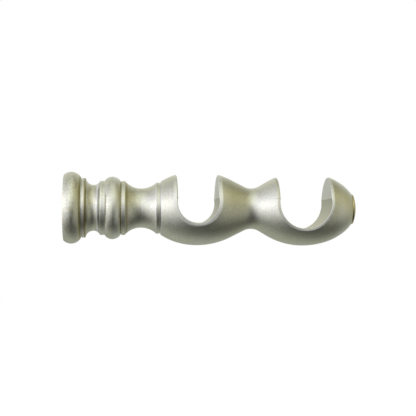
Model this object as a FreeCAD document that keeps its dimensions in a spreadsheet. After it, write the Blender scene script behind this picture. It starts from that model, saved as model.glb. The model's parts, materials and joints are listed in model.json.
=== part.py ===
import FreeCAD, Part
import math
import os

import Sketcher
from FreeCAD import Placement, Rotation, Vector

# Double curtain pole bracket. The arm is turned from one piece of hardwood along +X, with
# its flange against the wall at X = 0. Two cups are bored across it along Y and open
# upwards along +Z. All sizes are millimetres.

SIZES = {
    # Flange against the wall
    "flange_width": 12.3,
    "flange_crest": 5.35,
    "flange_radius": 25.85,
    "flange_back_drop": 2.05,
    "flange_front_drop": 4.15,
    # Narrow grooves and little steps that set the turned members apart
    "quirk_width": 0.5,
    "quirk_depth": 0.7,
    "ring_step": 0.5,
    "ring_edge_round": 0.45,
    # First ring and the short cove
    "first_ring_width": 2.85,
    "first_ring_rise": 1.95,
    "short_cove_width": 10.1,
    "short_cove_low": 5.75,
    "short_cove_depth": 3.0,
    # Bead between two rings
    "bead_ring_radius": 19.5,
    "back_bead_ring_width": 3.85,
    "bead_width": 11.1,
    "bead_crest": 5.25,
    "bead_rise": 3.05,
    "bead_back_drop": 2.45,
    "bead_front_drop": 3.3,
    "front_bead_ring_width": 2.9,
    # Long cove and the collar before the rear cup
    "long_cove_width": 21.8,
    "long_cove_low": 11.25,
    "long_cove_depth": 4.27,
    "collar_width": 3.0,
    "collar_radius": 18.4,
    # Bulges that hold the cups, the waist between them and the nose
    "bulge_radius": 26.7,
    "shoulder_rise": 0.7,
    "shoulder_length": 26.2,
    "cup_spacing": 76.8,
    "waist_offset": 1.1,
    "waist_depth": 12.0,
    "waist_round": 11.5,
    "rear_taper_length": 10.8,
    "front_taper_length": 6.8,
    "nose_length": 36.0,
    "nose_radius": 11.35,
    # Cups for the poles
    "cup_lift": 3.9,
    "rear_bore_radius": 14.7,
    "front_bore_radius": 18.5,
    "ridge_height": 2.9,
    "mouth_draft": 1.0,
    "rear_rim_round": 1.2,
    "front_rim_round": 1.1,
    "cutter_margin": 6.0,
    # Threaded insert in the wall face
    "thread_radius": 3.4,
    "insert_radius": 6.0,
    "insert_length": 18.0,
    "insert_collar_radius": 8.5,
    "insert_collar_thickness": 1.5,
    "insert_recess": 0.3,
    "insert_chamfer": 0.6,
    "insert_clearance": 0.05,
    "stud_room": 4.0,
    # Domed button on the nose
    "button_inset": 0.4,
    "button_edge": 1.2,
    "button_rise": 2.25,
    "button_edge_round": 0.6,
    "plug_radius": 4.0,
    "plug_length": 8.0,
    "plug_chamfer": 0.5,
    "plug_clearance": 0.05,
    "plug_room": 1.0,
}

# Sketch reference numbers: the two axes, and the ends and centre of an element
AXIS_ALONG, AXIS_UP = -1, -2
START, END, CENTRE = range(1, 4)
ORIGIN = (AXIS_ALONG, START)
TOLERANCE = 0.001


class Length:
    """A length, with the sheet formula that gives it."""

    def __init__(self, value, formula):
        self.value = value
        self.formula = formula

    def __add__(self, other):
        return Length(self.value + other.value, f"{self.formula} + {other.formula}")

    def __sub__(self, other):
        return Length(self.value - other.value, f"{self.formula} - ({other.formula})")

    def times(self, factor):
        return Length(self.value * factor, f"({self.formula}) * {factor}")


def size(name):
    return Length(SIZES[name], "Sizes." + name)


def make_sheet(doc):
    """Fills the sheet of driving sizes, one named cell to a row."""
    sheet = doc.addObject("Spreadsheet::Sheet", "Sizes")
    for row, (name, value) in enumerate(SIZES.items(), start=1):
        sheet.set(f"A{row}", name.replace("_", " "))
        sheet.set(f"B{row}", str(value))
        sheet.setAlias(f"B{row}", name)
    doc.recompute()


def add_body(doc, label):
    body = doc.addObject("PartDesign::Body", label)
    body.Label = label
    return body


def origin_plane(body, role):
    for feature in body.Origin.OriginFeatures:
        if feature.Role == role:
            return feature
    raise ValueError(f"no origin feature {role}")


def add_sketch(body, name, role="XZ_Plane", place=None):
    """Adds a sketch on one of the body's own planes, moved along by a length."""
    sketch = body.newObject("Sketcher::SketchObject", name)
    sketch.AttachmentSupport = [(origin_plane(body, role), "")]
    sketch.MapMode = "FlatFace"
    if place:
        sketch.AttachmentOffset = Placement(Vector(place.value, 0, 0), Rotation())
        sketch.setExpression("AttachmentOffset.Base.x", place.formula)
    return sketch


def tie(sketch, name, kind, places, length):
    """Adds a constraint whose value comes from the sheet."""
    index = sketch.addConstraint(Sketcher.Constraint(kind, *places, length.value))
    sketch.renameConstraint(index, name)
    sketch.setExpression("Constraints." + name, length.formula)


def rule(sketch, kind, *places):
    """Adds a constraint that has no value."""
    sketch.addConstraint(Sketcher.Constraint(kind, *places))


def add_line(sketch, first, last):
    return sketch.addGeometry(Part.LineSegment(first, last))


def add_level_arc(sketch, level, far):
    """Adds an arc that is level at one point and runs to another.

    It returns the arc, its end at the level point and its far end.
    """
    rise = far.y - level.y
    radius = ((far.x - level.x) ** 2 + rise ** 2) / (2 * abs(rise))
    centre = Vector(level.x, level.y + math.copysign(radius, rise), 0)
    at_level = math.atan2(level.y - centre.y, level.x - centre.x)
    at_far = math.atan2(far.y - centre.y, far.x - centre.x)
    level_first = (at_far - at_level) % math.tau < math.pi
    first, last = (at_level, at_far) if level_first else (at_far, at_level)
    circle = Part.Circle(centre, Vector(0, 0, 1), radius)
    arc = sketch.addGeometry(Part.ArcOfCircle(circle, first, last))
    level_end = START if level_first else END
    far_end = END if level_first else START
    rule(sketch, "Vertical", arc, CENTRE, arc, level_end)
    return arc, level_end, far_end


def add_frame(sketch, width, back_radius, front_radius):
    """Draws the turning axis and the two end faces of an outline.

    Outlines are drawn below the axis, so that the seam of a turned face lies underneath.
    """
    foot = Vector(width.value, 0, 0)
    base = add_line(sketch, Vector(), foot)
    front = add_line(sketch, foot, foot - Vector(0, front_radius.value, 0))
    back = add_line(sketch, Vector(0, -back_radius.value, 0), Vector())
    rule(sketch, "Coincident", base, START, *ORIGIN)
    rule(sketch, "Coincident", base, END, front, START)
    rule(sketch, "Coincident", back, END, base, START)
    rule(sketch, "Horizontal", base)
    rule(sketch, "Vertical", front)
    rule(sketch, "Vertical", back)
    tie(sketch, "width", "DistanceX", (base, START, base, END), width)
    tie(sketch, "front_radius", "DistanceY", (front, END, front, START), front_radius)
    tie(sketch, "back_radius", "DistanceY", (back, START, back, END), back_radius)
    return front, back


def turn(body, name, sketch):
    """Turns an outline once round the arm's axis."""
    feature = body.newObject("PartDesign::Revolution", name)
    feature.Profile = sketch
    feature.ReferenceAxis = (sketch, ["H_Axis"])
    feature.Angle = 360


def turn_band(body, name, place, width, radius):
    """Turns a plain band: a ring, or the bottom of a groove."""
    sketch = add_sketch(body, name + "_outline", place=place)
    front, back = add_frame(sketch, width, radius, radius)
    top = add_line(sketch, Vector(width.value, -radius.value, 0), Vector(0, -radius.value, 0))
    rule(sketch, "Coincident", front, END, top, START)
    rule(sketch, "Coincident", top, END, back, START)
    turn(body, name, sketch)


def turn_swell(body, name, place, width, level, level_radius, back_radius, front_radius):
    """Turns a bead or a cove: two arcs that meet level at its crest or lowest point."""
    sketch = add_sketch(body, name + "_outline", place=place)
    front, back = add_frame(sketch, width, back_radius, front_radius)
    middle = Vector(level.value, -level_radius.value, 0)
    front_corner = Vector(width.value, -front_radius.value, 0)
    back_corner = Vector(0, -back_radius.value, 0)
    front_arc, front_level, front_far = add_level_arc(sketch, middle, front_corner)
    back_arc, back_level, back_far = add_level_arc(sketch, middle, back_corner)
    rule(sketch, "Coincident", front, END, front_arc, front_far)
    rule(sketch, "Coincident", front_arc, front_level, back_arc, back_level)
    rule(sketch, "Coincident", back_arc, back_far, back, START)
    tie(sketch, "level_place", "DistanceX", (*ORIGIN, front_arc, front_level), level)
    tie(sketch, "level_radius", "DistanceY", (front_arc, front_level, *ORIGIN), level_radius)
    turn(body, name, sketch)


def taper_ends(crest, waist, waist_round, taper_length):
    """Finds where a straight taper touches the crest's arc and the waist's arc."""
    across = abs(waist.x - crest.x)
    side = math.copysign(1, waist.x - crest.x)
    fall = waist.y - crest.y
    rounds = (across ** 2 + fall ** 2 - taper_length ** 2) / (2 * fall)
    slope = math.atan2(across, rounds - fall) - math.atan2(taper_length, rounds)
    crest_round = rounds - waist_round
    upper = Vector(side * crest_round * math.sin(slope), crest_round * (1 - math.cos(slope)), 0)
    lower = Vector(side * waist_round * math.sin(slope), waist_round * (1 - math.cos(slope)), 0)
    return crest + upper, waist - lower


def add_half_egg(sketch, crest, corner):
    """Adds an elliptical arc round the axis from its crest to a corner.

    It returns the arc, its end at the crest and its end at the corner.
    """
    half_width = crest.y
    half_length = (corner.x - crest.x) / math.sqrt(1 - (corner.y / half_width) ** 2)
    centre = Vector(crest.x, 0, 0)
    egg = Part.Ellipse(centre + Vector(abs(half_length), 0, 0), centre - Vector(0, half_width, 0), centre)
    at_crest = 1.5 * math.pi
    at_corner = math.atan2(corner.y / -half_width, (corner.x - crest.x) / abs(half_length))
    towards_front = corner.x > crest.x
    first, last = (at_crest, at_corner) if towards_front else (at_corner, at_crest)
    arc = sketch.addGeometry(Part.ArcOfEllipse(egg, first % math.tau, last % math.tau))
    sketch.exposeInternalGeometry(arc)
    long_axis = arc + 1
    crest_end = START if towards_front else END
    corner_end = END if towards_front else START
    rule(sketch, "Horizontal", long_axis)
    rule(sketch, "PointOnObject", arc, CENTRE, AXIS_ALONG)
    rule(sketch, "Vertical", arc, CENTRE, arc, crest_end)
    return arc, crest_end, corner_end


def turn_bulges(body, place):
    """Turns both bulges, the waist between them and the nose from one outline."""
    rear_place = size("shoulder_length")
    front_place = rear_place + size("cup_spacing")
    waist_place = rear_place + size("cup_spacing").times(0.5) + size("waist_offset")
    length = front_place + size("nose_length")
    bulge = size("bulge_radius")
    waist_radius = bulge - size("waist_depth")
    shoulder_radius = size("collar_radius") + size("shoulder_rise")

    sketch = add_sketch(body, "bulges_outline", place=place)
    nose_face, shoulder_face = add_frame(sketch, length, shoulder_radius, size("nose_radius"))
    shoulder_corner = Vector(0, -shoulder_radius.value, 0)
    nose_corner = Vector(length.value, -SIZES["nose_radius"], 0)
    rear_crest = Vector(rear_place.value, -bulge.value, 0)
    front_crest = Vector(front_place.value, -bulge.value, 0)
    waist = Vector(waist_place.value, -waist_radius.value, 0)

    # Egg-shaped ends: the shoulder behind the rear cup and the nose before the front cup
    shoulder, shoulder_crest, shoulder_foot = add_half_egg(sketch, rear_crest, shoulder_corner)
    nose, nose_crest, nose_foot = add_half_egg(sketch, front_crest, nose_corner)
    rule(sketch, "Coincident", shoulder, shoulder_foot, shoulder_face, START)
    rule(sketch, "Coincident", nose, nose_foot, nose_face, END)

    # Waist: a hollow arc that a straight taper joins to the crest arc on each side
    waist_round = SIZES["waist_round"]
    rear_upper, rear_lower = taper_ends(rear_crest, waist, waist_round, SIZES["rear_taper_length"])
    front_upper, front_lower = taper_ends(front_crest, waist, waist_round, SIZES["front_taper_length"])
    waist_centre = waist - Vector(0, waist_round, 0)
    hollow = Part.ArcOfCircle(
        Part.Circle(waist_centre, Vector(0, 0, 1), waist_round),
        math.atan2(front_lower.y - waist_centre.y, front_lower.x - waist_centre.x),
        math.atan2(rear_lower.y - waist_centre.y, rear_lower.x - waist_centre.x),
    )
    waist_arc = sketch.addGeometry(hollow)
    rear_arc, rear_level, rear_far = add_level_arc(sketch, rear_crest, rear_upper)
    front_arc, front_level, front_far = add_level_arc(sketch, front_crest, front_upper)
    rear_taper = add_line(sketch, rear_upper, rear_lower)
    front_taper = add_line(sketch, front_upper, front_lower)
    rule(sketch, "Tangent", rear_arc, rear_far, rear_taper, START)
    rule(sketch, "Tangent", rear_taper, END, waist_arc, END)
    rule(sketch, "Tangent", waist_arc, START, front_taper, END)
    rule(sketch, "Tangent", front_taper, START, front_arc, front_far)
    rule(sketch, "Coincident", shoulder, shoulder_crest, rear_arc, rear_level)
    rule(sketch, "Coincident", nose, nose_crest, front_arc, front_level)

    tie(sketch, "rear_place", "DistanceX", (*ORIGIN, rear_arc, rear_level), rear_place)
    tie(sketch, "front_place", "DistanceX", (*ORIGIN, front_arc, front_level), front_place)
    tie(sketch, "rear_radius", "DistanceY", (rear_arc, rear_level, *ORIGIN), bulge)
    tie(sketch, "front_bulge_radius", "DistanceY", (front_arc, front_level, *ORIGIN), bulge)
    tie(sketch, "waist_place", "DistanceX", (*ORIGIN, waist_arc, CENTRE), waist_place)
    tie(sketch, "waist_centre", "DistanceY", (waist_arc, CENTRE, *ORIGIN),
        waist_radius + size("waist_round"))
    tie(sketch, "waist_round", "Radius", (waist_arc,), size("waist_round"))
    tie(sketch, "rear_taper", "Distance", (rear_taper,), size("rear_taper_length"))
    tie(sketch, "front_taper", "Distance", (front_taper,), size("front_taper_length"))
    turn(body, "bulges", sketch)
    return place + rear_place, place + front_place, place + length


def bore_cup(body, name, place, bore_radius):
    """Bores a cup across the arm and opens its mouth upwards.

    The mouth's walls meet the bore a little above its middle, and each makes a low ridge.
    """
    radius = bore_radius.value
    ridge = SIZES["ridge_height"]
    lift = SIZES["cup_lift"]
    top = size("bulge_radius") + size("cutter_margin")
    half_gap = math.sqrt(radius ** 2 - ridge ** 2)
    half_top = half_gap + (top.value - lift - ridge) * math.tan(math.radians(SIZES["mouth_draft"]))
    ridge_angle = math.asin(ridge / radius)

    sketch = add_sketch(body, name + "_outline", place=place)
    round_part = Part.Circle(Vector(0, lift, 0), Vector(0, 0, 1), radius)
    bore = sketch.addGeometry(Part.ArcOfCircle(round_part, math.pi - ridge_angle, math.tau + ridge_angle))
    back_ridge = Vector(-half_gap, lift + ridge, 0)
    front_ridge = Vector(half_gap, lift + ridge, 0)
    back_top = Vector(-half_top, top.value, 0)
    front_top = Vector(half_top, top.value, 0)
    back_wall = add_line(sketch, back_ridge, back_top)
    lid = add_line(sketch, back_top, front_top)
    front_wall = add_line(sketch, front_top, front_ridge)
    rule(sketch, "Coincident", bore, START, back_wall, START)
    rule(sketch, "Coincident", back_wall, END, lid, START)
    rule(sketch, "Coincident", lid, END, front_wall, START)
    rule(sketch, "Coincident", front_wall, END, bore, END)
    rule(sketch, "Symmetric", back_wall, START, front_wall, END, AXIS_UP)
    rule(sketch, "Symmetric", lid, START, lid, END, AXIS_UP)
    tie(sketch, "bore_radius", "Radius", (bore,), bore_radius)
    tie(sketch, "cup_lift", "DistanceY", (*ORIGIN, bore, CENTRE), size("cup_lift"))
    tie(sketch, "ridge_height", "DistanceY", (bore, CENTRE, bore, START), size("ridge_height"))
    tie(sketch, "top", "DistanceY", (*ORIGIN, lid, START), top)
    draft = Length(math.radians(SIZES["mouth_draft"]), "Sizes.mouth_draft * 1 deg")
    tie(sketch, "draft", "Angle", (AXIS_UP, START, back_wall, START), draft)

    pocket = body.newObject("PartDesign::Pocket", name)
    pocket.Profile = sketch
    pocket.SideType = "Symmetric"
    pocket.setExpression("Length", top.times(2).formula)
    return pocket


def cup_edges(shape, place, bore_radius):
    """Finds the curved edges where a cup breaks through the arm's turned surface."""
    half_gap = math.sqrt(bore_radius.value ** 2 - SIZES["ridge_height"] ** 2)
    draft = math.tan(math.radians(SIZES["mouth_draft"]))
    names = []
    for index, edge in enumerate(shape.Edges, start=1):
        if edge.Degenerated or edge.Curve.TypeId == "Part::GeomLine":
            continue
        middle = edge.valueAt((edge.FirstParameter + edge.LastParameter) / 2)
        across = abs(middle.x - place.value)
        up = middle.z - SIZES["cup_lift"]
        in_bore = abs(math.hypot(across, up) - bore_radius.value) < TOLERANCE
        mouth_gap = half_gap + (up - SIZES["ridge_height"]) * draft
        in_mouth = up > 0 and abs(across - mouth_gap) < TOLERANCE
        if in_bore or in_mouth:
            names.append(f"Edge{index}")
    return names


def circle_edges(shape, circles):
    """Finds the turned edges at the given places along the arm and radii."""
    names = []
    for index, edge in enumerate(shape.Edges, start=1):
        if edge.Degenerated or edge.Curve.TypeId != "Part::GeomCircle":
            continue
        centre = edge.Curve.Center
        for place, radius in circles:
            near = abs(centre.x - place.value) < TOLERANCE
            if near and abs(edge.Curve.Radius - radius.value) < TOLERANCE:
                names.append(f"Edge{index}")
    return names


def round_edges(body, name, names, formula):
    """Rounds the named edges of the body's last feature."""
    last = body.Tip
    feature = body.newObject("PartDesign::Fillet", name)
    feature.Base = (last, names)
    feature.setExpression("Radius", formula)


def bevel_edges(body, name, names, formula):
    """Bevels the named edges of the body's last feature."""
    last = body.Tip
    feature = body.newObject("PartDesign::Chamfer", name)
    feature.Base = (last, names)
    feature.setExpression("Size", formula)


def drill(doc, body, name, place, facing_wall, diameter, depth, cut=None):
    """Drills a blind round hole along the arm's axis from one of its end faces."""
    sketch = body.newObject("Sketcher::SketchObject", name + "_centre")
    sketch.AttachmentSupport = [(origin_plane(body, "YZ_Plane"), "")]
    sketch.MapMode = "FlatFace"
    sketch.setExpression("AttachmentOffset.Base.z", place.formula)
    circle = sketch.addGeometry(Part.Circle(Vector(), Vector(0, 0, 1), diameter.value / 2))
    rule(sketch, "Coincident", circle, CENTRE, *ORIGIN)
    tie(sketch, "diameter", "Diameter", (circle,), diameter)
    doc.recompute()
    hole = body.newObject("PartDesign::Hole", name)
    hole.Profile = sketch
    hole.Reversed = facing_wall
    hole.DepthType = "Dimension"
    hole.DrillPoint = "Angled"
    hole.setExpression("Diameter", diameter.formula)
    hole.setExpression("Depth", depth.formula)
    if cut:
        hole.HoleCutType = "Counterbore"
        hole.HoleCutCustomValues = True
        hole.setExpression("HoleCutDiameter", cut[0].formula)
        hole.setExpression("HoleCutDepth", cut[1].formula)
    doc.recompute()


def build_turned_arm(doc):
    """Builds the arm: turned members from the wall outwards, then the cups and the holes."""
    body = add_body(doc, "turned_arm")
    quirk_width = size("quirk_width")
    ring_step = size("ring_step")
    bead_ring_radius = size("bead_ring_radius")
    first_ring_radius = bead_ring_radius + size("first_ring_rise")
    collar_radius = size("collar_radius")
    bead_radius = bead_ring_radius + size("bead_rise")

    flange_radius = size("flange_radius")
    flange_back_radius = flange_radius - size("flange_back_drop")
    flange_front_radius = flange_radius - size("flange_front_drop")
    turn_swell(body, "flange", None, size("flange_width"), size("flange_crest"),
               flange_radius, flange_back_radius, flange_front_radius)

    place = size("flange_width")
    turn_band(body, "flange_quirk", place, quirk_width, first_ring_radius - size("quirk_depth"))

    first_ring = place + quirk_width
    turn_band(body, "first_ring", first_ring, size("first_ring_width"), first_ring_radius)

    short_cove = first_ring + size("first_ring_width")
    turn_swell(body, "short_cove", short_cove, size("short_cove_width"), size("short_cove_low"),
               bead_ring_radius - size("short_cove_depth"),
               first_ring_radius - ring_step, bead_ring_radius - ring_step)

    back_bead_ring = short_cove + size("short_cove_width")
    turn_band(body, "back_bead_ring", back_bead_ring, size("back_bead_ring_width"), bead_ring_radius)

    place = back_bead_ring + size("back_bead_ring_width")
    turn_swell(body, "bead", place, size("bead_width"), size("bead_crest"), bead_radius,
               bead_radius - size("bead_back_drop"), bead_radius - size("bead_front_drop"))

    place = place + size("bead_width")
    turn_band(body, "bead_quirk", place, quirk_width, bead_ring_radius - size("quirk_depth"))

    front_bead_ring = place + quirk_width
    turn_band(body, "front_bead_ring", front_bead_ring, size("front_bead_ring_width"), bead_ring_radius)

    long_cove = front_bead_ring + size("front_bead_ring_width")
    turn_swell(body, "long_cove", long_cove, size("long_cove_width"), size("long_cove_low"),
               collar_radius - size("long_cove_depth"),
               bead_ring_radius - ring_step, collar_radius - ring_step)

    collar = long_cove + size("long_cove_width")
    turn_band(body, "collar", collar, size("collar_width"), collar_radius)

    collar_front = collar + size("collar_width")
    turn_band(body, "collar_quirk", collar_front, quirk_width, collar_radius - size("quirk_depth"))

    rear_cup, front_cup, nose_end = turn_bulges(body, collar_front + quirk_width)
    doc.recompute()

    # Softened edges of the four rings
    softened = [
        (first_ring, first_ring_radius),
        (short_cove, first_ring_radius),
        (back_bead_ring, bead_ring_radius),
        (front_bead_ring, bead_ring_radius),
        (long_cove, bead_ring_radius),
        (collar, collar_radius),
        (collar_front, collar_radius),
    ]
    round_edges(body, "ring_edges", circle_edges(body.Tip.Shape, softened),
                "min(Sizes.ring_edge_round; Sizes.ring_step * 0.9; Sizes.quirk_depth * 0.9)")
    doc.recompute()

    cups = [
        ("rear_cup", rear_cup, "rear_bore_radius", "rear_rim_round"),
        ("front_cup", front_cup, "front_bore_radius", "front_rim_round"),
    ]
    for name, cup_place, bore_name, rim_name in cups:
        volume = body.Tip.Shape.Volume
        pocket = bore_cup(body, name, cup_place, size(bore_name))
        doc.recompute()
        print(name, "cuts", round(volume - pocket.Shape.Volume), "cubic mm")
        edges = cup_edges(pocket.Shape, cup_place, size(bore_name))
        round_edges(body, name + "_rim", edges, "Sizes." + rim_name)
        doc.recompute()

    # Stepped hole for the wall insert, with room for the stud behind it
    wall = Length(0.0, "0")
    clearance = size("insert_clearance")
    collar_seat = size("insert_recess") + size("insert_collar_thickness")
    drill(doc, body, "insert_hole", wall, True,
          (size("insert_radius") + clearance).times(2),
          size("insert_recess") + size("insert_length") + size("stud_room"),
          ((size("insert_collar_radius") + clearance).times(2), collar_seat))

    # Blind hole for the button's plug
    drill(doc, body, "plug_hole", nose_end, False,
          (size("plug_radius") + size("plug_clearance")).times(2),
          size("plug_length") + size("plug_room"))
    return body, nose_end


def add_outline(sketch, corners):
    """Draws a closed outline of straight sides and returns them in order."""
    sides = []
    for first, last in zip(corners, corners[1:] + corners[:1]):
        sides.append(add_line(sketch, first, last))
    for side, following in zip(sides, sides[1:] + sides[:1]):
        rule(sketch, "Coincident", side, END, following, START)
    for side, first, last in zip(sides, corners, corners[1:] + corners[:1]):
        if first.x == last.x:
            rule(sketch, "Vertical", side)
        elif first.y == last.y:
            rule(sketch, "Horizontal", side)
    return sides


def build_wall_insert(doc):
    """Builds the threaded insert: a collared sleeve whose bore is the thread's drill size."""
    body = add_body(doc, "wall_insert")
    inner = size("thread_radius")
    outer = size("insert_radius")
    collar = size("insert_collar_radius")
    thickness = size("insert_collar_thickness")
    length = size("insert_length")
    sketch = add_sketch(body, "insert_outline")
    corners = [
        Vector(0, inner.value, 0),
        Vector(length.value, inner.value, 0),
        Vector(length.value, outer.value, 0),
        Vector(thickness.value, outer.value, 0),
        Vector(thickness.value, collar.value, 0),
        Vector(0, collar.value, 0),
    ]
    bore, tail, barrel, seat, rim, face = add_outline(sketch, corners)
    rule(sketch, "PointOnObject", bore, START, AXIS_UP)
    tie(sketch, "thread_radius", "DistanceY", (*ORIGIN, bore, START), inner)
    tie(sketch, "length", "DistanceX", (bore, START, bore, END), length)
    tie(sketch, "outer_radius", "DistanceY", (*ORIGIN, barrel, START), outer)
    tie(sketch, "collar_radius", "DistanceY", (*ORIGIN, rim, START), collar)
    tie(sketch, "collar_thickness", "DistanceX", (rim, END, rim, START), thickness)
    turn(body, "sleeve", sketch)
    doc.recompute()
    ends = circle_edges(body.Tip.Shape, [(Length(0.0, "0"), inner), (length, outer)])
    bevel_edges(body, "lead_in", ends, "Sizes.insert_chamfer")
    body.setExpression("Placement.Base.x", "Sizes.insert_recess")
    doc.recompute()
    return body


def build_end_button(doc, nose_end):
    """Builds the button: a shallow dome with a round edge, on a plug that the nose holds."""
    body = add_body(doc, "end_button")
    rim = size("nose_radius") - size("button_inset")
    edge = size("button_edge")
    height = edge + size("button_rise")
    plug = size("plug_radius")
    plug_length = size("plug_length")
    rise = SIZES["button_rise"]
    dome_radius = (rim.value ** 2 + rise ** 2) / (2 * rise)
    sketch = add_sketch(body, "button_outline")
    corners = [
        Vector(-plug_length.value, 0, 0),
        Vector(height.value, 0, 0),
        Vector(edge.value, rim.value, 0),
        Vector(0, rim.value, 0),
        Vector(0, plug.value, 0),
        Vector(-plug_length.value, plug.value, 0),
    ]
    axis = add_line(sketch, corners[0], corners[1])
    dome_circle = Part.Circle(Vector(height.value - dome_radius, 0, 0), Vector(0, 0, 1), dome_radius)
    half_angle = math.asin(rim.value / dome_radius)
    dome = sketch.addGeometry(Part.ArcOfCircle(dome_circle, 0, half_angle))
    sides = [add_line(sketch, corners[i], corners[(i + 1) % len(corners)]) for i in range(2, 6)]
    edge_band, underside, shank, tail = sides
    rule(sketch, "Coincident", axis, END, dome, START)
    rule(sketch, "Coincident", dome, END, edge_band, START)
    for side, following in zip(sides, sides[1:] + [axis]):
        rule(sketch, "Coincident", side, END, following, START)
    rule(sketch, "Horizontal", axis)
    rule(sketch, "PointOnObject", axis, START, AXIS_ALONG)
    rule(sketch, "PointOnObject", dome, CENTRE, AXIS_ALONG)
    rule(sketch, "Horizontal", edge_band)
    rule(sketch, "Vertical", underside)
    rule(sketch, "Horizontal", shank)
    rule(sketch, "Vertical", tail)
    rule(sketch, "PointOnObject", underside, START, AXIS_UP)
    tie(sketch, "rim_radius", "DistanceY", (*ORIGIN, edge_band, START), rim)
    tie(sketch, "edge", "DistanceX", (edge_band, END, edge_band, START), edge)
    tie(sketch, "height", "DistanceX", (*ORIGIN, axis, END), height)
    tie(sketch, "plug_radius", "DistanceY", (*ORIGIN, shank, START), plug)
    tie(sketch, "plug_length", "DistanceX", (shank, END, shank, START), plug_length)
    turn(body, "button", sketch)
    doc.recompute()
    round_edges(body, "button_edge", circle_edges(body.Tip.Shape, [(edge, rim)]),
                "min(Sizes.button_edge_round; Sizes.button_edge * 0.8)")
    doc.recompute()
    plug_end = circle_edges(body.Tip.Shape, [(plug_length.times(-1), plug)])
    bevel_edges(body, "plug_lead", plug_end, "Sizes.plug_chamfer")
    body.setExpression("Placement.Base.x", nose_end.formula)
    doc.recompute()
    return body


def check(doc, bodies):
    """Stops the script if any feature failed or any piece isn't one good solid."""
    for item in doc.Objects:
        if "Invalid" in item.State or "Error" in item.State:
            raise RuntimeError(f"{item.Label} failed: {item.State}")
    for body in bodies:
        shape = body.Shape
        if shape.isNull() or not shape.isValid() or len(shape.Solids) != 1:
            raise RuntimeError(f"{body.Label} is not one good solid")
        box = shape.BoundBox
        print(body.Label, "volume", round(shape.Volume, 1), "box",
              [round(value, 2) for value in (box.XMin, box.XMax, box.YMin, box.YMax, box.ZMin, box.ZMax)])


def main():
    doc = FreeCAD.newDocument("curtain_pole_bracket")
    make_sheet(doc)
    arm, nose_end = build_turned_arm(doc)
    insert = build_wall_insert(doc)
    button = build_end_button(doc, nose_end)
    bodies = [arm, insert, button]
    doc.recompute()
    check(doc, bodies)
    os.makedirs("parts", exist_ok=True)
    for body in bodies:
        body.Shape.exportStep(f"parts/{body.Label}.step")


main()
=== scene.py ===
# %% [markdown]
# A turned double bracket for curtain poles
#
# The real object is one piece of hardwood, turned on a lathe and sprayed with a satin
# metallic paint. A domed metal button closes its front end, and a threaded steel insert
# sits in its wall end. The solids come from the CAD model. This lesson gives them their
# finishes, cuts the screw thread that the CAD model leaves out, and sets up the camera and
# the light.

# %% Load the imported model
import json
import math

import bmesh
import bpy
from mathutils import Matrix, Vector


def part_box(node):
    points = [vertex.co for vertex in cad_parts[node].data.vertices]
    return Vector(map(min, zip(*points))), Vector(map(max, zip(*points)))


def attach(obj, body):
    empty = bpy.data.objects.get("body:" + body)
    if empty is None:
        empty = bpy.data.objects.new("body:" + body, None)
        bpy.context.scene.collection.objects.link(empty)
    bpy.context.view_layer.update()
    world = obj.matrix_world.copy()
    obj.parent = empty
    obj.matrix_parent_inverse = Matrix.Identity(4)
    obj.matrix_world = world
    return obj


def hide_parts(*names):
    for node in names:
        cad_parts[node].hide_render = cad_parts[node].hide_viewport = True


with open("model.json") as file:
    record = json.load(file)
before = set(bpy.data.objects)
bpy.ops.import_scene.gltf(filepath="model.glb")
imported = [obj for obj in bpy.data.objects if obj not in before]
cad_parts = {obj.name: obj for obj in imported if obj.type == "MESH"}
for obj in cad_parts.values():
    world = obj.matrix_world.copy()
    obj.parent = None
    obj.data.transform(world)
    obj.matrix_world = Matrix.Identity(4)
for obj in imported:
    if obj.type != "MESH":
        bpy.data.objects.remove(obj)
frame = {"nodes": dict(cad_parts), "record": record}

MM = 0.001
AXIS = Vector((1.0, 0.0, 0.0))
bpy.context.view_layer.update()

# %% [markdown]
# The camera
#
# The photograph looks square across the bracket, from about 0.8 m. A long lens keeps the
# rings nearly flat. The camera stands a little lower than the turned axis and looks up by
# under two degrees: the far rims of the cups show that, because they lie lower in the
# picture than the near ones. The picture's middle is not on the middle of the bracket, so
# the camera is also turned a few degrees. A shifted lens would do the same, but a plain
# turn also works for the other views.

# %% Camera
SENSOR_WIDTH = 36.0
LENS_LENGTH = 95.84
CAMERA_PLACE = (0.0457, -0.8014, -0.0245)
CAMERA_TURN = (91.77, -0.19, -4.16)

camera_data = bpy.data.cameras.new("photo_camera")
camera_data.sensor_width = SENSOR_WIDTH
camera_data.lens = LENS_LENGTH
camera = bpy.data.objects.new("photo_camera", camera_data)
camera.location = CAMERA_PLACE
camera.rotation_euler = [math.radians(turn) for turn in CAMERA_TURN]
bpy.context.scene.collection.objects.link(camera)
bpy.context.scene.camera = camera
bpy.context.scene.view_settings.view_transform = "Standard"
print("camera at", CAMERA_PLACE, "turned", CAMERA_TURN)

# %% [markdown]
# Helpers for shader nodes
#
# Every finish below is a small tree of nodes. These helpers add a node, set its sockets
# and wire it up in one call, so that each finish reads as a short list of steps. A value
# may be a number, a colour or the output of another node.


# %% Node helpers
def set_socket(tree, socket, value):
    if isinstance(value, bpy.types.NodeSocket):
        tree.links.new(value, socket)
    else:
        socket.default_value = value


def add_node(tree, kind, settings=None, **sockets):
    node = tree.nodes.new(kind)
    for key, value in (settings or {}).items():
        setattr(node, key, value)
    for key, value in sockets.items():
        set_socket(tree, node.inputs[key.replace("_", " ")], value)
    return node


def math_node(tree, operation, first, second=0.0):
    node = add_node(tree, "ShaderNodeMath", {"operation": operation})
    set_socket(tree, node.inputs[0], first)
    set_socket(tree, node.inputs[1], second)
    return node.outputs[0]


def vector_node(tree, operation, first, second):
    node = add_node(tree, "ShaderNodeVectorMath", {"operation": operation})
    set_socket(tree, node.inputs[0], first)
    set_socket(tree, node.inputs[1], second)
    return node


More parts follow.
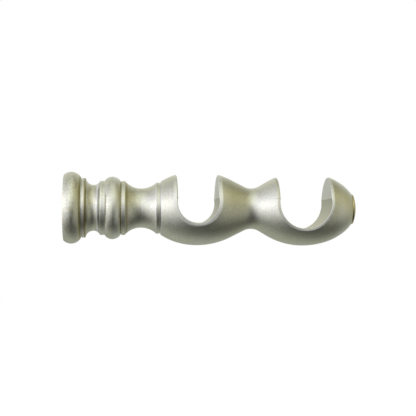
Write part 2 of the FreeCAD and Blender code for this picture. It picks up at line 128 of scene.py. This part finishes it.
def scale_range(tree, value, low, high, new_low, new_high):
    node = tree.nodes.new("ShaderNodeMapRange")
    for place, number in enumerate((value, low, high, new_low, new_high)):
        set_socket(tree, node.inputs[place], number)
    return node.outputs[0]


print("helpers for numbers and vectors are ready")

# %% [markdown]
# Helpers that blend
#
# A Mix node has its own sockets for each kind of value, so the same node blends numbers at
# some places of its list and colours at others. Two shaders blend in a Mix Shader node.

# %% Blend helpers
NUMBER_SOCKETS = (0, 2, 3)
COLOUR_SOCKETS = (0, 6, 7)
COLOUR_RESULT = 2


def blend_number(tree, factor, first, second):
    node = tree.nodes.new("ShaderNodeMix")
    for place, value in zip(NUMBER_SOCKETS, (factor, first, second)):
        set_socket(tree, node.inputs[place], value)
    return node.outputs[0]


def blend_colour(tree, factor, first, second, mode="MIX"):
    node = add_node(tree, "ShaderNodeMix", {"data_type": "RGBA", "blend_type": mode})
    for place, value in zip(COLOUR_SOCKETS, (factor, first, second)):
        set_socket(tree, node.inputs[place], value)
    return node.outputs[COLOUR_RESULT]


def blend_shaders(tree, factor, first, second):
    node = tree.nodes.new("ShaderNodeMixShader")
    for place, value in enumerate((factor, first, second)):
        set_socket(tree, node.inputs[place], value)
    return node.outputs["Shader"]


def new_material(name):
    material = bpy.data.materials.new(name)
    material.use_nodes = True
    tree = material.node_tree
    return material, tree, tree.nodes["Principled BSDF"]


print("helpers that blend are ready")

# %% [markdown]
# Coordinates on turned work
#
# A lathe makes everything in circles about one axis, here X. So the finishes need two
# numbers at each point: the place along the axis, and the distance from the axis. Both
# come from Object coordinates, which are in metres from the wall face. A stripe is full in
# the middle third of its width and fades towards its edges. Noise could give any value
# from 0 to 1, but most of it lies near the middle, so a finish stretches only that part.

# %% Coordinates, noise and stripes
FULL_SHARE = 0.35
NOISE_CORE = (0.35, 0.65)
NOISE_SPAN = (0.3, 0.7)


def turned_coordinates(tree):
    coordinates = add_node(tree, "ShaderNodeTexCoord").outputs["Object"]
    parts = add_node(tree, "ShaderNodeSeparateXYZ", Vector=coordinates)
    square_y = math_node(tree, "MULTIPLY", parts.outputs["Y"], parts.outputs["Y"])
    square_z = math_node(tree, "MULTIPLY", parts.outputs["Z"], parts.outputs["Z"])
    radius = math_node(tree, "SQRT", math_node(tree, "ADD", square_y, square_z))
    return coordinates, parts, radius


def noise(tree, vector, scale, detail=2.0, roughness=0.5):
    node = add_node(tree, "ShaderNodeTexNoise", Vector=vector, Scale=scale,
                    Detail=detail, Roughness=roughness)
    return node.outputs["Fac"]


def line_noise(tree, along, scale, detail=1.0):
    node = add_node(tree, "ShaderNodeTexNoise", {"noise_dimensions": "1D"},
                    W=along, Scale=scale, Detail=detail)
    return node.outputs["Fac"]


def stripe(tree, along, centre, half_width):
    away = math_node(tree, "ABSOLUTE", math_node(tree, "SUBTRACT", along, centre))
    return scale_range(tree, away, FULL_SHARE * half_width, half_width, 1.0, 0.0)


def lines_along(tree, along, lines):
    total = 0.0
    for place, half_width, strength in lines:
        line = stripe(tree, along, place * MM, half_width * MM)
        total = math_node(tree, "MAXIMUM", total, math_node(tree, "MULTIPLY", line, strength))
    return total


print("a stripe is full over", FULL_SHARE, "of its width")

# %% [markdown]
# Champagne paint on the turned arm
#
# The arm is sprayed with a pale metallic paint, between champagne and silver. It is satin,
# so lights show as soft bands. The paint is speckled and has small golden patches, both
# strongest next to the wall. The marks of the lathe show through as fine rings, most of
# all on the shoulder before the rear cup. One material does all this, because each place
# on a turned piece is known along the axis.

# %% Patterns in the paint
RING_END = 15.0 * MM
SHOULDER_START = 70.0 * MM
SHOULDER_MIDDLE = 75.0 * MM
SHOULDER_REACH = 12.0 * MM
LATHE_STEP = 0.95 * MM
LATHE_WANDER = 6.0

paint, tree, shader = new_material("champagne_paint")
coordinates, parts, radius = turned_coordinates(tree)
along = parts.outputs["X"]
cloud = noise(tree, coordinates, scale=35.0, detail=4.0)
mottle = noise(tree, coordinates, scale=330.0, detail=3.0, roughness=0.6)
speck = noise(tree, coordinates, scale=850.0, detail=2.0, roughness=0.6)
rings = line_noise(tree, along, scale=1500.0, detail=2.0)

wander = math_node(tree, "MULTIPLY", line_noise(tree, along, scale=300.0), LATHE_WANDER)
turns = math_node(tree, "MULTIPLY", along, 2.0 * math.pi / LATHE_STEP)
lathe = math_node(tree, "SINE", math_node(tree, "ADD", turns, wander))
shoulder = stripe(tree, along, SHOULDER_MIDDLE, SHOULDER_REACH)
print("pattern nodes:", len(tree.nodes))

# %% Colours of the paint
GOLDEN_STRENGTH = (0.45, 0.2)
SPECK_STRENGTH = (0.15, 0.09)
LATHE_STRENGTH = (0.02, 0.07)
PAINT_ROUGHNESS = (0.28, 0.32)

pale = (0.605, 0.605, 0.53, 1.0)
deep = (0.555, 0.555, 0.46, 1.0)
golden = (0.61, 0.57, 0.36, 1.0)
clouded = scale_range(tree, cloud, *NOISE_CORE, 0.0, 1.0)
ringed = scale_range(tree, rings, *NOISE_SPAN, 0.0, 0.25)
mottled = scale_range(tree, mottle, 0.45, 0.65, 0.0, 1.0)
golden_strength = scale_range(tree, along, RING_END, SHOULDER_START, *GOLDEN_STRENGTH)
colour = blend_colour(tree, clouded, pale, deep)
colour = blend_colour(tree, math_node(tree, "MULTIPLY", mottled, golden_strength), colour, golden)
colour = blend_colour(tree, ringed, colour, deep)

speck_strength = scale_range(tree, along, RING_END, SHOULDER_START, *SPECK_STRENGTH)
lathe_strength = scale_range(tree, shoulder, 0.0, 1.0, *LATHE_STRENGTH)
specks = scale_range(tree, speck, *NOISE_CORE, -1.0, 1.0)
grain = math_node(tree, "MULTIPLY", specks, speck_strength)
grain = math_node(tree, "ADD", grain, math_node(tree, "MULTIPLY", lathe, lathe_strength))
grain = math_node(tree, "ADD", grain, 1.0)
shade = add_node(tree, "ShaderNodeCombineColor", Red=grain, Green=grain, Blue=grain)
colour = blend_colour(tree, 1.0, colour, shade.outputs["Color"], "MULTIPLY")
paint_roughness = scale_range(tree, speck, *NOISE_SPAN, *PAINT_ROUGHNESS)
print("paint nodes:", len(tree.nodes))

# %% [markdown]
# Glaze and painted shade in the corners, silver wear and painted highlights on the edges
#
# Dark olive glaze with painted shade darkens the sharp corners between the rings and the
# joint of nose and button. The raised edges are rubbed to bare silver and brightened by
# painted highlights. Both run round the arm as lines, so each is a stripe at its place along
# the axis. The wide, faint stripe of painted shade lies between the rear cup and the waist.
# The wide stripes of silver and painted highlight are the front of the bead and the nose.

# %% Glaze, painted shade, wear and painted highlight lines
# Each row holds a place along the axis and a half width, both in mm, and a strength.
GLAZE_AND_SHADE_LINES = (
    (11.75, 0.9, 0.85),
    (15.5, 1.1, 0.9),
    (25.3, 0.4, 0.3),
    (40.8, 0.6, 0.7),
    (45.0, 1.0, 0.55),
    (124.0, 12.0, 0.14),
    (208.3, 0.6, 0.7),
)
WEAR_AND_HIGHLIGHT_LINES = (
    (13.0, 0.5, 0.4),
    (24.4, 1.2, 1.0),
    (26.6, 0.6, 0.6),
    (28.9, 0.5, 0.5),
    (37.6, 2.6, 0.55),
    (65.7, 0.6, 0.5),
    (69.0, 0.7, 0.8),
    (203.0, 9.0, 0.6),
)

# The olive colour is partly glaze and partly painted shade. The silver is partly bare silver wear
# and partly a painted highlight.
glaze_and_shade = (0.28, 0.25, 0.10, 1.0)
silver_and_highlight = (0.73, 0.745, 0.73, 1.0)
colour = blend_colour(tree, lines_along(tree, along, WEAR_AND_HIGHLIGHT_LINES), colour, silver_and_highlight)
colour = blend_colour(tree, lines_along(tree, along, GLAZE_AND_SHADE_LINES), colour, glaze_and_shade)
print("glazed lines:", len(GLAZE_AND_SHADE_LINES), "rubbed lines:", len(WEAR_AND_HIGHLIGHT_LINES))

# %% [markdown]
# Rims of the cups
#
# Each cup's edge was eased with sandpaper, which left a flat about two millimetres wide and
# at most 17 degrees off the turned surface. That is too slight for the CAD model, so it is
# made in the shading: near the wall the normal leans towards the cup's middle, up to a
# limit that also flattens the rounded corner. The cup's middle and the radius of its bore
# come from the record, so the flat follows the edge.

# %% Lean of the rims
RIM_WIDTHS = {"rear_pole_cup": 2.7, "front_pole_cup": 1.95}
RIM_START = (0.2 * MM, 0.5 * MM)
RIM_FADE = 0.3 * MM
RIM_LEAN = 0.31
LEAN_LIMIT = -0.07
WALL_DEPTH = (0.05 * MM, 0.2 * MM)


def cup_reach(tree, parts, mount):
    """The distance outside a cup's wall, and the direction straight out from that wall."""
    middle_x, _, middle_z = mount["pos_m"]
    across = math_node(tree, "SUBTRACT", parts.outputs["X"], middle_x)
    height = math_node(tree, "SUBTRACT", parts.outputs["Z"], middle_z)
    below = math_node(tree, "MINIMUM", height, 0.0)
    away = add_node(tree, "ShaderNodeCombineXYZ", X=across, Z=below).outputs["Vector"]
    length = add_node(tree, "ShaderNodeVectorMath", {"operation": "LENGTH"}, Vector=away)
    outwards = add_node(tree, "ShaderNodeVectorMath", {"operation": "NORMALIZE"}, Vector=away)
    bore = mount["dims"]["r_mm"] * MM
    return math_node(tree, "SUBTRACT", length.outputs["Value"], bore), outwards.outputs["Vector"]


def lean_normal(tree, normal, outwards, rim_flat):
    facing = vector_node(tree, "DOT_PRODUCT", normal, outwards).outputs["Value"]
    room = math_node(tree, "ADD", facing, LEAN_LIMIT)
    amount = math_node(tree, "MULTIPLY", math_node(tree, "MINIMUM", room, RIM_LEAN), rim_flat)
    lean = add_node(tree, "ShaderNodeVectorMath", {"operation": "SCALE"}, Vector=outwards,
                    Scale=math_node(tree, "MULTIPLY", amount, -1.0))
    return vector_node(tree, "ADD", normal, lean.outputs["Vector"]).outputs["Vector"]


leaning = add_node(tree, "ShaderNodeNewGeometry").outputs["Normal"]
rim = 0.0
wall = 0.0
cups = [mount for mount in frame["record"]["mounts"] if mount["name"] in RIM_WIDTHS]
for mount in cups:
    width = RIM_WIDTHS[mount["name"]] * MM
    reach, outwards = cup_reach(tree, parts, mount)
    inner_edge = scale_range(tree, reach, *RIM_START, 0.0, 1.0)
    outer_edge = scale_range(tree, reach, width - RIM_FADE, width + RIM_FADE, 1.0, 0.0)
    rim_flat = math_node(tree, "MULTIPLY", inner_edge, outer_edge)
    rim = math_node(tree, "MAXIMUM", rim, rim_flat)
    wall = math_node(tree, "MAXIMUM", wall, scale_range(tree, reach, *WALL_DEPTH, 1.0, 0.0))
    leaning = lean_normal(tree, leaning, outwards, rim_flat)
surface = add_node(tree, "ShaderNodeVectorMath", {"operation": "NORMALIZE"}, Vector=leaning)
print("cup rims:", [mount["name"] for mount in cups])

# %% [markdown]
# Walls of the cups
#
# Inside a cup, a low ridge runs along each wall where the round bore meets the straight
# mouth. Above it the wall is made paler by a painted highlight, and painted shade darkens it
# along the ridge and below it. The paint is rubbed thin on the rims, which also get a painted
# highlight. Only the left edge of the front cup gets glaze with painted shade, and there the
# ridge ends in a small dark tick of painted shade.

# %% Cup walls and rims in colour, with painted highlight and painted shade
RIDGE = 6.8 * MM
RIDGE_FADE = 0.3 * MM
RIDGE_HALF_WIDTH = 0.5 * MM
FRONT_LEFT_EDGE = 152.8 * MM
FRONT_LEFT_REACH = 2.2 * MM
HIGHLIGHT_ABOVE_RIDGE = 0.45
SHADE_BELOW_RIDGE = 0.38
WEAR_AND_HIGHLIGHT_ON_RIM = 0.35
GLAZE_AND_SHADE_ON_EDGE = 0.4
SHADE_ON_RIDGE = 0.45

# Above the ridge the wall gets a painted highlight and below it painted shade. The rims get silver
# wear with a painted highlight, and the ridge and front left edge get painted shade.
height = parts.outputs["Z"]
ridge_span = (RIDGE - RIDGE_FADE, RIDGE + RIDGE_FADE)
painted_highlight_above = scale_range(tree, height, *ridge_span, 0.0, HIGHLIGHT_ABOVE_RIDGE)
painted_shade_below = scale_range(tree, height, *ridge_span, SHADE_BELOW_RIDGE, 0.0)
ridge = stripe(tree, height, RIDGE, RIDGE_HALF_WIDTH)
front_left = stripe(tree, along, FRONT_LEFT_EDGE, FRONT_LEFT_REACH)
edge = math_node(tree, "MULTIPLY", rim, front_left)
painted_shade_tick = math_node(tree, "MULTIPLY", math_node(tree, "MAXIMUM", wall, front_left), ridge)
colour = blend_colour(tree, math_node(tree, "MULTIPLY", wall, painted_highlight_above), colour, silver_and_highlight)
colour = blend_colour(tree, math_node(tree, "MULTIPLY", wall, painted_shade_below), colour, glaze_and_shade)
colour = blend_colour(tree, math_node(tree, "MULTIPLY", rim, WEAR_AND_HIGHLIGHT_ON_RIM), colour, silver_and_highlight)
colour = blend_colour(tree, math_node(tree, "MULTIPLY", edge, GLAZE_AND_SHADE_ON_EDGE), colour, glaze_and_shade)
colour = blend_colour(tree, math_node(tree, "MULTIPLY", painted_shade_tick, SHADE_ON_RIDGE), colour, glaze_and_shade)
print("paint nodes with rims:", len(tree.nodes))

# %% [markdown]
# Bare wood on the wall face
#
# The back of the flange is left as it came off the lathe, because nobody sees it on the
# wall. The grain runs along the arm, so the face shows end grain: curved growth rings round
# a heart that lies outside the piece, and fine pores. The spray reaches a little way in
# from the edge. It is a second finish on the same solid, so it is mixed in by place: at the
# wall face, and inside the paint's ragged edge.

# %% End grain
HEART = (0.0, -46.0 * MM, -30.0 * MM)
FACE_DEPTH = 0.03 * MM
SPRAY_EDGE = 22.4 * MM
SPRAY_FADE = 1.4 * MM
RAGGED = 1.6 * MM
GROWTH_WAVER = 3.0 * MM

face = scale_range(tree, along, FACE_DEPTH, 2.0 * FACE_DEPTH, 1.0, 0.0)
ragged = math_node(tree, "MULTIPLY", noise(tree, coordinates, scale=420.0, detail=4.0), RAGGED)
edge_place = math_node(tree, "ADD", radius, ragged)
inside = scale_range(tree, edge_place, SPRAY_EDGE, SPRAY_EDGE + SPRAY_FADE, 1.0, 0.0)
bare = math_node(tree, "MULTIPLY", face, inside)

from_heart = vector_node(tree, "DISTANCE", coordinates, HEART).outputs["Value"]
waver = math_node(tree, "MULTIPLY", noise(tree, coordinates, scale=60.0), GROWTH_WAVER)
growth = line_noise(tree, math_node(tree, "ADD", from_heart, waver), scale=420.0)
pores = noise(tree, coordinates, scale=2600.0, detail=1.0)
pale_wood = (0.58, 0.40, 0.23, 1.0)
dark_wood = (0.40, 0.25, 0.13, 1.0)
late_wood = scale_range(tree, growth, *NOISE_CORE, 0.0, 0.8)
pored = scale_range(tree, pores, 0.62, 0.72, 0.0, 0.5)
wood = blend_colour(tree, late_wood, pale_wood, dark_wood)
wood = blend_colour(tree, pored, wood, dark_wood)
print("wood and paint nodes:", len(tree.nodes))

# %% [markdown]
# Paint and wood together
#
# The paint is nearly all metal flakes, and the wood is none, so the wood's mask turns the
# metallic value down and the roughness up. The fine rings and the specks also raise the
# surface by a hair, on top of the leaning rims.

# %% Finish of the turned arm
WOOD_ROUGHNESS = 0.75
PAINT_METAL = 0.96
RING_RELIEF = 0.6
SPECK_RELIEF = 0.4

relief = math_node(tree, "ADD", math_node(tree, "MULTIPLY", rings, RING_RELIEF),
                   math_node(tree, "MULTIPLY", speck, SPECK_RELIEF))
bump = add_node(tree, "ShaderNodeBump", Height=relief, Strength=0.15, Distance=0.2 * MM,
                Normal=surface.outputs["Vector"])
roughness = blend_number(tree, bare, paint_roughness, WOOD_ROUGHNESS)
metal = scale_range(tree, bare, 0.0, 1.0, PAINT_METAL, 0.0)
set_socket(tree, shader.inputs["Base Color"], blend_colour(tree, bare, colour, wood))
set_socket(tree, shader.inputs["Roughness"], roughness)
set_socket(tree, shader.inputs["Metallic"], metal)
set_socket(tree, shader.inputs["Normal"], bump.outputs["Normal"])
frame["nodes"]["turned_arm"].material_slots[0].material = paint
print("nodes of the arm's finish:", len(tree.nodes))

# %% [markdown]
# Brass for the end button
#
# The button is a thin turned cap with a low dome, polished and then lacquered. Its marks
# run in circles round the middle, and brown tarnish dulls it in patches, so the patches
# set both the colour and the roughness.

# %% Brass for the button
BRASS_ROUGHNESS = (0.13, 0.22)


def finish_metal(tree, shader, colour, roughness, marks, strength):
    bump = add_node(tree, "ShaderNodeBump", Height=marks, Strength=strength, Distance=0.1 * MM)
    set_socket(tree, shader.inputs["Base Color"], colour)
    set_socket(tree, shader.inputs["Roughness"], roughness)
    set_socket(tree, shader.inputs["Normal"], bump.outputs["Normal"])
    shader.inputs["Metallic"].default_value = 1.0


brass, tree, shader = new_material("aged_brass")
coordinates, _, radius = turned_coordinates(tree)
marks = line_noise(tree, radius, scale=2600.0, detail=2.0)
tarnish = noise(tree, coordinates, scale=220.0, detail=4.0)
gold = (0.50, 0.43, 0.21, 1.0)
brown = (0.28, 0.23, 0.10, 1.0)
colour = blend_colour(tree, scale_range(tree, tarnish, 0.45, 0.75, 0.0, 0.5), gold, brown)
roughness = scale_range(tree, tarnish, *NOISE_SPAN, *BRASS_ROUGHNESS)
finish_metal(tree, shader, colour, roughness, marks, strength=0.1)
frame["nodes"]["end_button"].material_slots[0].material = brass
print("brass nodes:", len(tree.nodes))

# %% [markdown]
# Plated steel for the wall insert
#
# The insert is machined steel with a bright zinc plate, which has a faint blue cast. The
# cutter's fine marks run in circles and change how rough the plate is.

# %% Plated steel
STEEL_ROUGHNESS = (0.28, 0.38)

steel, tree, shader = new_material("plated_steel")
coordinates, _, radius = turned_coordinates(tree)
marks = line_noise(tree, radius, scale=3200.0, detail=2.0)
cast = noise(tree, coordinates, scale=160.0, detail=3.0)
cool = (0.44, 0.46, 0.48, 1.0)
warm = (0.49, 0.48, 0.43, 1.0)
colour = blend_colour(tree, scale_range(tree, cast, 0.4, 0.6, 0.0, 1.0), cool, warm)
roughness = scale_range(tree, marks, *NOISE_SPAN, *STEEL_ROUGHNESS)
finish_metal(tree, shader, colour, roughness, marks, strength=0.15)
frame["nodes"]["wall_insert"].material_slots[0].material = steel
print("steel nodes:", len(tree.nodes))

# %% [markdown]
# The screw thread in the wall insert
#
# The bracket screws onto a stud that stands out of the wall, so the steel insert has an
# M8 thread inside. The CAD model keeps a smooth bore at the drill size. A thread could be
# faked with bump, but it is seen from the wall side, so here it is real geometry. A maker
# cuts it with a tap, and so does this step: one tooth of the tap is spun along a helix
# into a closed tool, and a Boolean modifier takes that tool away from a copy of the insert.

# %% Spin the tap
PITCH = 1.25 * MM
GROOVE_RADIUS = 4.0 * MM
CORE_RADIUS = 3.3 * MM
FLANK_ANGLE = 30.0
TIP_SHARE = 1.0 / 8.0
TOOTH_STEPS = 36
SPARE_TURNS = 3
insert_low, insert_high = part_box("wall_insert")


def tap_tooth():
    flank = (GROOVE_RADIUS - CORE_RADIUS) * math.tan(math.radians(FLANK_ANGLE))
    tip = PITCH * TIP_SHARE
    gap = PITCH - 2.0 * flank - tip
    return [(0.0, CORE_RADIUS), (gap, CORE_RADIUS), (gap + flank, GROOVE_RADIUS),
            (gap + flank + tip, GROOVE_RADIUS), (PITCH, CORE_RADIUS)]


def spin_tap(start, length):
    tap = bmesh.new()
    verts = [tap.verts.new((start + x, 0.0, r)) for x, r in tap_tooth()]
    edges = [tap.edges.new(pair) for pair in zip(verts, verts[1:])]
    turns = math.ceil(length / PITCH)
    bmesh.ops.spin(tap, geom=verts + edges, axis=AXIS, cent=(0.0, 0.0, 0.0),
                   dvec=AXIS * (PITCH / TOOTH_STEPS), angle=2.0 * math.pi * turns,
                   steps=turns * TOOTH_STEPS)
    bmesh.ops.remove_doubles(tap, verts=tap.verts, dist=0.002 * MM)
    return tap


def cut_ends(mesh, low, high):
    for place, side in ((low, -1.0), (high, 1.0)):
        bmesh.ops.bisect_plane(mesh, geom=mesh.verts[:] + mesh.edges[:] + mesh.faces[:],
                               plane_co=(place, 0.0, 0.0), plane_no=AXIS * side,
                               clear_outer=True)
    rim_edges = [edge for edge in mesh.edges if edge.is_boundary]
    bmesh.ops.holes_fill(mesh, edges=rim_edges, sides=0)
    bmesh.ops.recalc_face_normals(mesh, faces=mesh.faces)


def new_object(name, mesh):
    data = bpy.data.meshes.new(name)
    mesh.to_mesh(data)
    mesh.free()
    made = bpy.data.objects.new(name, data)
    bpy.context.scene.collection.objects.link(made)
    return made


spare = SPARE_TURNS * PITCH
tap_mesh = spin_tap(insert_low[0] - spare, insert_high[0] - insert_low[0] + 2.0 * spare)
cut_ends(tap_mesh, insert_low[0] - PITCH, insert_high[0] + PITCH)
tap = new_object("thread_tap", tap_mesh)
print("tap faces:", len(tap.data.polygons))

# %% Cut the thread
SHARP_ANGLE = 32.0

blank_mesh = bmesh.new()
blank_mesh.from_mesh(frame["nodes"]["wall_insert"].data)
bmesh.ops.remove_doubles(blank_mesh, verts=blank_mesh.verts, dist=0.0005 * MM)
threaded = new_object("threaded_insert", blank_mesh)
cut = threaded.modifiers.new("cut_thread", "BOOLEAN")
cut.operation = "DIFFERENCE"
cut.solver = "EXACT"
cut.object = tap
cut_insert = threaded.evaluated_get(bpy.context.evaluated_depsgraph_get())
tapped = bpy.data.meshes.new_from_object(cut_insert)
threaded.modifiers.clear()
threaded.data = tapped
bpy.data.objects.remove(tap)
tapped.set_sharp_from_angle(angle=math.radians(SHARP_ANGLE))
tapped.materials.clear()
tapped.materials.append(steel)
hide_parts("wall_insert")
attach(threaded, "root")
print("threaded insert faces:", len(tapped.polygons))

# %% [markdown]
# Floor and white background
#
# A bracket hangs on a wall, so the floor is a plain pale sheet some way below it, and its
# shadow falls outside the photograph's view. Seen by the camera the sheet is nearly white
# by itself, and a part of it is still lit as paper is, which keeps the shadow. Metal
# doesn't mirror the sheet, because the photograph shows no floor in the paint.

# %% Floor
FLOOR_HEIGHT = -0.2
FLOOR_MIDDLE = 0.1
FLOOR_HALF_WIDTH = 2.5
FLOOR_GLOW = 1.12
GLOW_SHARE = 0.75

sheet_mesh = bpy.data.meshes.new("floor")
sheet = bmesh.new()
bmesh.ops.create_grid(sheet, x_segments=2, y_segments=2, size=FLOOR_HALF_WIDTH)
bmesh.ops.translate(sheet, verts=sheet.verts, vec=(FLOOR_MIDDLE, 0.0, FLOOR_HEIGHT))
sheet.to_mesh(sheet_mesh)
sheet.free()
floor = bpy.data.objects.new("floor", sheet_mesh)
bpy.context.scene.collection.objects.link(floor)
floor.visible_glossy = False

paper, tree, shader = new_material("floor_paper")
shader.inputs["Base Color"].default_value = (0.8, 0.8, 0.79, 1.0)
shader.inputs["Roughness"].default_value = 0.9
rays = add_node(tree, "ShaderNodeLightPath")
glow = add_node(tree, "ShaderNodeEmission", Color=(1.0, 1.0, 1.0, 1.0), Strength=FLOOR_GLOW)
seen = math_node(tree, "MULTIPLY", rays.outputs["Is Camera Ray"], GLOW_SHARE)
sheet_look = blend_shaders(tree, seen, shader.outputs["BSDF"], glow.outputs["Emission"])
tree.links.new(sheet_look, tree.nodes["Material Output"].inputs["Surface"])
floor.data.materials.append(paper)
print("floor at", FLOOR_HEIGHT, "m")

# %% [markdown]
# Studio light
#
# The photograph shows one big soft light at the left of the camera, a weaker one above,
# pale surroundings behind and a dimmer side at the right. Metal shows its surroundings, so
# the room is made of soft glows in the world. Each glow has a direction, a sharpness, a
# tint and a strength. The direction is an angle round from the camera, to the right, and
# an angle up. A sharper glow covers less of the room.

# %% Glows of the room
# Each row holds the angle round and the angle up, the sharpness, the tint and the strength.
GLOWS = (
    (-60.0, 20.0, 5.0, (1.00, 1.00, 1.25), 0.61),
    (-60.0, 60.0, 5.0, (0.99, 1.00, 1.10), 0.28),
    (-105.0, 8.0, 5.0, (1.00, 1.00, 1.06), 1.24),
    (-15.0, 30.0, 5.0, (0.98, 1.00, 1.12), 1.02),
    (35.0, 42.0, 5.0, (0.99, 1.00, 0.72), 0.66),
    (90.0, 15.0, 4.0, (1.14, 1.00, 0.32), 0.31),
    (0.0, 90.0, 4.0, (0.98, 1.00, 0.80), 0.26),
    (180.0, 30.0, 4.0, (0.99, 1.00, 0.88), 0.68),
    (-150.0, 45.0, 6.0, (0.99, 1.00, 0.95), 0.18),
    (-10.0, 6.0, 6.0, (0.98, 1.00, 1.00), 0.24),
    (-95.0, -4.0, 12.0, (1.02, 1.00, 1.00), 0.20),
    (70.0, -6.0, 6.0, (0.96, 1.00, 1.35), 0.18),
    (140.0, 0.0, 4.0, (0.95, 1.00, 0.85), 0.29),
    (180.0, -45.0, 4.0, (0.94, 1.00, 0.88), 0.39),
    (-120.0, -50.0, 4.0, (0.96, 1.00, 0.88), 0.24),
    (-45.0, -13.0, 6.0, (0.99, 1.00, 1.05), 0.77),
    (-86.0, 3.0, 12.0, (1.02, 1.00, 1.05), 0.42),
    (52.0, -20.0, 7.5, (0.96, 1.00, 0.80), 0.25),
)


def direction_of(azimuth, elevation):
    turn = math.radians(azimuth)
    lift = math.radians(elevation)
    return Vector((math.sin(turn) * math.cos(lift), -math.cos(turn) * math.cos(lift),
                   math.sin(lift)))


def add_glows(tree, glows):
    black = (0.0, 0.0, 0.0, 1.0)
    direction = add_node(tree, "ShaderNodeTexCoord").outputs["Generated"]
    total = black
    for azimuth, elevation, sharpness, tint, strength in glows:
        towards = vector_node(tree, "DOT_PRODUCT", direction, direction_of(azimuth, elevation))
        ahead = math_node(tree, "MAXIMUM", towards.outputs["Value"], 0.0)
        lobe = math_node(tree, "POWER", ahead, sharpness)
        bright = tuple(strength * part for part in tint) + (1.0,)
        total = blend_colour(tree, 1.0, total, blend_colour(tree, lobe, black, bright), "ADD")
    return total


print("room glows:", len(GLOWS))

# %% [markdown]
# What the camera sees, and what the metal mirrors
#
# The camera sees a white room, as in the photograph. The paint would lose its dark bands if
# it mirrored that white room, so it mirrors the glows, with a small share of the white.

# %% World
ROOM_STRENGTH = 1.035
WHITE_IN_METAL = 0.04

world = bpy.data.worlds.new("studio")
bpy.context.scene.world = world
world.use_nodes = True
tree = world.node_tree
tree.nodes.clear()
room = add_node(tree, "ShaderNodeBackground", Color=add_glows(tree, GLOWS), Strength=ROOM_STRENGTH)
white = add_node(tree, "ShaderNodeBackground", Color=(1.0, 1.0, 1.0, 1.0), Strength=1.0)
rays = add_node(tree, "ShaderNodeLightPath")
seen = math_node(tree, "MAXIMUM", rays.outputs["Is Camera Ray"],
                 rays.outputs["Is Transmission Ray"])
mirrored = math_node(tree, "MULTIPLY", rays.outputs["Is Glossy Ray"], WHITE_IN_METAL)
seen = math_node(tree, "MAXIMUM", seen, mirrored)
room_look = blend_shaders(tree, seen, room.outputs["Background"], white.outputs["Background"])
output = add_node(tree, "ShaderNodeOutputWorld")
tree.links.new(room_look, output.inputs["Surface"])
print("world nodes:", len(tree.nodes))

# %% [markdown]
# Lamps
#
# Two wide soft lamps add to the glows, one at the left and a wider one above. They also
# throw the bracket's soft shadow on the floor.

# %% Lamps
LAMP_TARGET = Vector((0.105, 0.0, 0.0))


def soft_lamp(name, azimuth, elevation, distance, size, power, tint):
    data = bpy.data.lights.new(name, "AREA")
    data.shape = "DISK"
    data.size = size
    data.energy = power
    data.color = tint
    lamp = bpy.data.objects.new(name, data)
    place = LAMP_TARGET + direction_of(azimuth, elevation) * distance
    lamp.location = place
    lamp.rotation_euler = (LAMP_TARGET - place).to_track_quat("-Z", "Y").to_euler()
    bpy.context.scene.collection.objects.link(lamp)
    return lamp


key_lamp = soft_lamp("key_lamp", azimuth=-60.0, elevation=12.0, distance=1.4, size=0.86,
                     power=0.9, tint=(0.99, 0.97, 1.0))
top_lamp = soft_lamp("top_lamp", azimuth=0.0, elevation=85.0, distance=1.5, size=1.2,
                     power=0.9, tint=(0.98, 1.0, 0.94))
print("lamps:", key_lamp.name, top_lamp.name)
